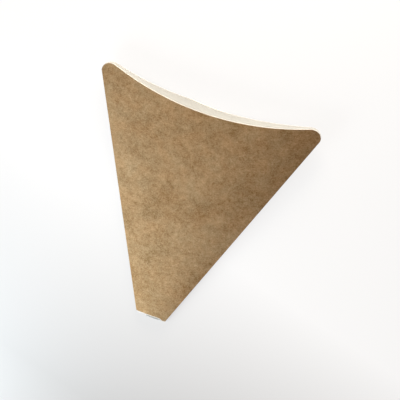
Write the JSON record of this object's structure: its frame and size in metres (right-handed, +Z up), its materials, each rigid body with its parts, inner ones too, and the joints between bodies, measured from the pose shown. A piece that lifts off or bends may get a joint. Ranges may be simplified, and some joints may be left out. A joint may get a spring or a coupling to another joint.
{
  "type": "paper crepe cone",
  "caption": "Flat kraft board cone for a folded crepe: a wedge with a hollow-curved open mouth, rounded mouth corners, creased sides and a cut-off tip.",
  "frame": {"origin": "middle of the underside's box, on the surface that the cone lies on", "axes": "+Y along the cone's middle from the cut-off tip to the mouth, +X across it, +Z up out of the front panel"},
  "size_m": [0.1734, 0.2002, 0.0168],
  "materials": {
    "kraft_board": "matte"
  },
  "bodies": {
    "root": {"crepe_cone": "kraft_board"}
  },
  "joints": []
}
